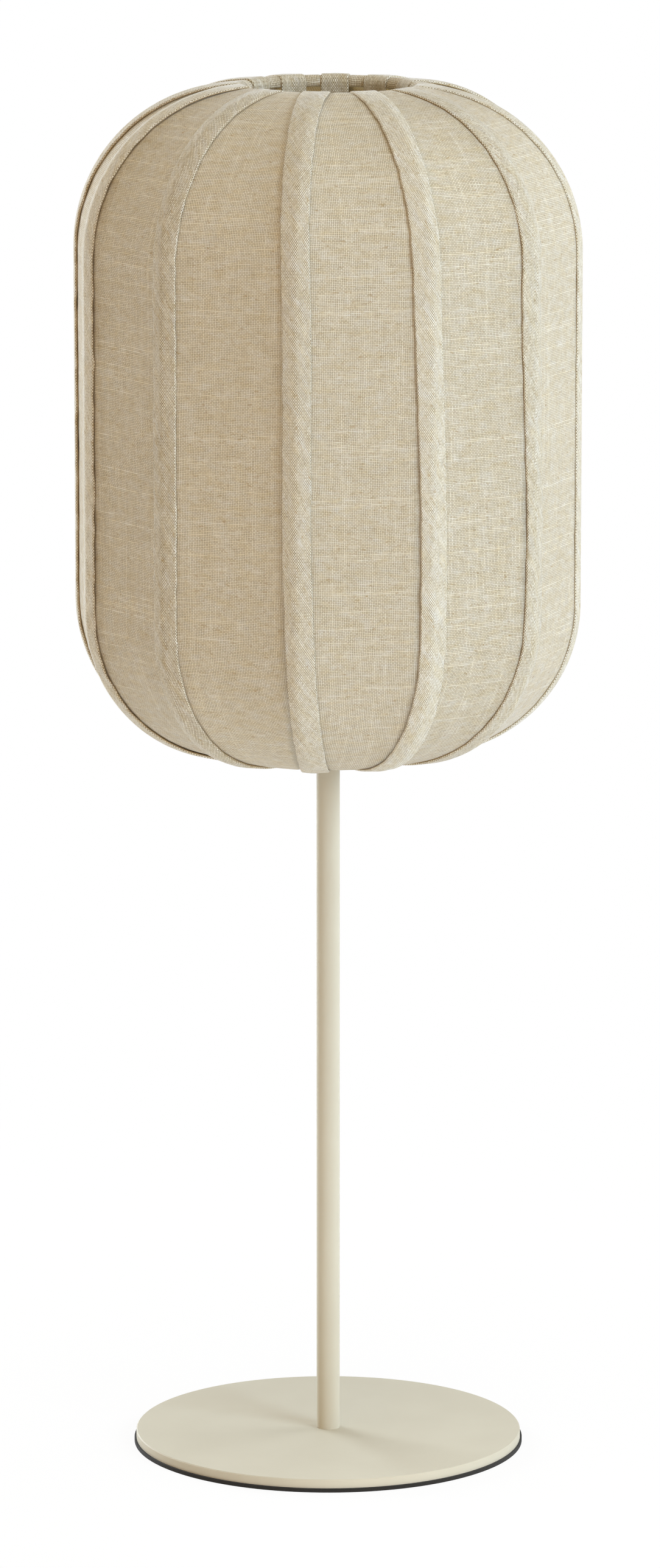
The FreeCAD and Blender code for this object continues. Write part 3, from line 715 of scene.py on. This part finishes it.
panel_weave = linen_weave(
    "slub_linen", pitches=(0.00091, 0.00086), gap_shades=(0.35, 0.24), thread_tone=0.85,
    slub_tone=0.50, fleck_share=0.70, level=0.675, see_through=0.36)
next_bearings = np.append(rib_bearings[1:], rib_bearings[0] + 2 * math.pi)
for number, (name, first, last) in enumerate(zip(panel_names, rib_bearings, next_bearings)):
    cloth_name = name.replace("linen", "cloth")
    piece, points, width, length = linen_gore(cloth_name, first, last, panel_seed + number)
    piece.data.materials.append(panel_weave)
    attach(piece, "shade")
    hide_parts(name)

# Seam tapes
# Twelve bias strips of the same linen with both edges turned under, glued over the seams and
# hooked round the rings. Each is bent along the rib, so that its halves lie on both panels.
tape_width = 0.014
tape_cloth = 0.0006
fold_radius = 0.00042
flap_width = 0.0045
tape_hem = math.radians(195.0)
glue_gap = 0.0002
ridge_round = 0.0010
fold_steps = 9
flap_steps = 5
top_steps = 21
edge_wander = 0.0004
wander_lengths = (0.011, 0.017, 0.029, 0.083)
lift_lengths = (0.012, 0.021, 0.034, 0.061)
other_edge_seed = 200
lift_seed = 50
edge_lift = 0.00045
edge_lifts = {"seam_tape_04": 0.0001, "seam_tape_11": 0.0008}
glue_gaps = {
    "seam_tape_01": 0.0003,
    "seam_tape_03": 0.0,
    "seam_tape_04": -0.0003,
    "seam_tape_11": 0.0005,
}
# Glue stain and painted shade in the crease under each fold's edge, on the flaps and up the lower half
# of the folds.
glue_stain = 0.9
glue_climb = 0.9 * fold_radius
tape_seed = 15427
tape_sheer = 0.4
tape_tones = 0.045
bias_angle = math.radians(29.7)
tape_pitch = 0.000745
tape_names = sorted(name for name in nodes if name.startswith("seam_tape_"))
seam_bows = {
    "seam_tape_01": (0.0002, -0.0017, 0.0003, -0.0011),
    "seam_tape_02": (0.0002, -0.0020, -0.0009, 0.0002),
    "seam_tape_03": (-0.0002, -0.0004, -0.0009, 0.0014),
}


def folded_section():
    """Cut through the folded strip, from one turned flap's end over the top to the other.

    Two flat flaps, two half circles for the folds and a flat top, as (across, up) with the
    underside at no height. Also returns the distance along the cut, counted from its middle.
    """
    edge = tape_width / 2 - fold_radius - tape_cloth / 2
    low = tape_cloth / 2
    turn = np.linspace(-math.pi / 2, math.pi / 2, fold_steps)
    bulge = edge + fold_radius * np.cos(turn)
    right = np.stack([bulge, low + fold_radius * (1 + np.sin(turn))], axis=-1)
    left = right[::-1] * (-1, 1)
    flap = np.linspace(edge - flap_width, edge, flap_steps)[:-1]
    first = np.stack([-flap, np.full_like(flap, low)], axis=-1)
    level = np.linspace(-edge, edge, top_steps)[1:-1]
    top = np.stack([level, np.full_like(level, low + 2 * fold_radius)], axis=-1)
    cut = np.vstack([first, left[::-1], top, right[::-1], first[::-1] * (-1, 1)])
    run = np.append(0, np.cumsum(np.linalg.norm(np.diff(cut, axis=0), axis=1)))
    return cut, run - run[-1] / 2


def bias_tape(name, before, bearing, after, bows, gap, most_lift, seed):
    """Folded strip carried down a seam, its across axis laid along both panels' faces.

    A point at a distance u from the seam sits on the panel of its side at the smooth distance
    sqrt(u^2 + r^2), so that the ridge is rounded, and rises along that panel's normal.
    Both edges wander to the sides and lift and settle along the way, and the whole strip bows to
    the side by a sum of sines with one, two, three and four half waves over its length. The gap is
    what the glue fills under the strip, less than nothing where it is pressed into the panels. The
    flaps and the lower half of each fold turn brown, partly glue stain and partly painted shade in
    the crease under the fold's edge. What hooks into the rings and faces inwards is darker, partly
    glue stain and partly painted shade.
    """
    cut, run = folded_section()
    half_bays = ((bearing - before) / 2, (after - bearing) / 2)
    seam_out, seam_height = gore_face(np.array([half_bays[0]]), half_bays[0], tape_hem)[:2]
    along = run_along(seam_out, seam_height)
    share = cut[:, 0] / (tape_width / 2)
    sway = 0.0
    lift = 0.0
    for edge, way in enumerate((-1, 1)):
        near = np.clip(way * share, 0, 1) ** 2
        edge_seed = seed + other_edge_seed * edge
        sway = sway + edge_wander * near * waves(edge_seed, wander_lengths, along)
        lift = lift + most_lift * near * waves(edge_seed + lift_seed, lift_lengths, along)
    half_waves = math.pi / 2 * (along / along.max() + 1)
    bow = sum(size * np.sin(order * half_waves) for order, size in enumerate(bows, start=1))
    reach = cut[:, 0] + sway + bow
    distance = np.sqrt(reach ** 2 + ridge_round ** 2)
    right = 0.5 + 0.5 * reach / distance
    swings = [half_bay - distance / seam_out for half_bay in half_bays]
    faces = [gore_face(swing, half_bay, tape_hem) for swing, half_bay in zip(swings, half_bays)]
    out, height, normal_out, normal_up = (1 - right) * faces[0] + right * faces[1]
    lay = bearing + reach / seam_out
    facing = lay + normal_out * (right * swings[1] - (1 - right) * swings[0])
    rise = gap + cut[:, 1] + lift * normal_out ** 2
    points = np.stack([
        out * np.sin(lay) + rise * normal_out * np.sin(facing),
        -out * np.cos(lay) - rise * normal_out * np.cos(facing),
        height + rise * normal_up,
    ], axis=-1)
    lengthwise = along * math.sin(bias_angle)
    crosswise = run * math.cos(bias_angle)
    threads = np.stack([lengthwise + crosswise, lengthwise - crosswise], axis=-1)
    draw = np.random.default_rng(seed)
    threads = threads + draw.uniform(0, 1, 2)
    # Painted shade and glue stain: the tone falls where the strip faces inwards in the rings, and the
    # flaps and lower fold halves turn brown, partly glue and partly painted crease shade.
    tone = draw.normal(0, tape_tones) - glue_tone * np.clip(-normal_out, 0, 1)
    glued = glue_stain * (cut[:, 1] < tape_cloth / 2 + glue_climb)
    piece = grid_mesh(name, points, threads, sheer=tape_sheer, bolt_tone=tone, glue=glued)
    thicken(piece, tape_cloth, 0.0)
    return piece, run[-1] - run[0], along[-1, 0] - along[0, 0]


tape_weave = linen_weave(
    "bias_linen", pitches=(tape_pitch, tape_pitch), gap_shades=(0.42, 0.42), thread_tone=1.3,
    slub_tone=0.30, fleck_share=0.75, level=0.595, see_through=0.18)
last_bearings = np.append(rib_bearings[-1] - 2 * math.pi, rib_bearings[:-1])
bays = zip(tape_names, last_bearings, rib_bearings, next_bearings)
for number, (name, before, bearing, after) in enumerate(bays):
    folded_name = name.replace("seam", "folded")
    bows = seam_bows.get(name, (0.0,))
    gap = glue_gaps.get(name, glue_gap)
    most_lift = edge_lifts.get(name, edge_lift)
    piece, width, length = bias_tape(
        folded_name, before, bearing, after, bows, gap, most_lift, tape_seed + number)
    piece.data.materials.append(tape_weave)
    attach(piece, "shade")
    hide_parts(name)
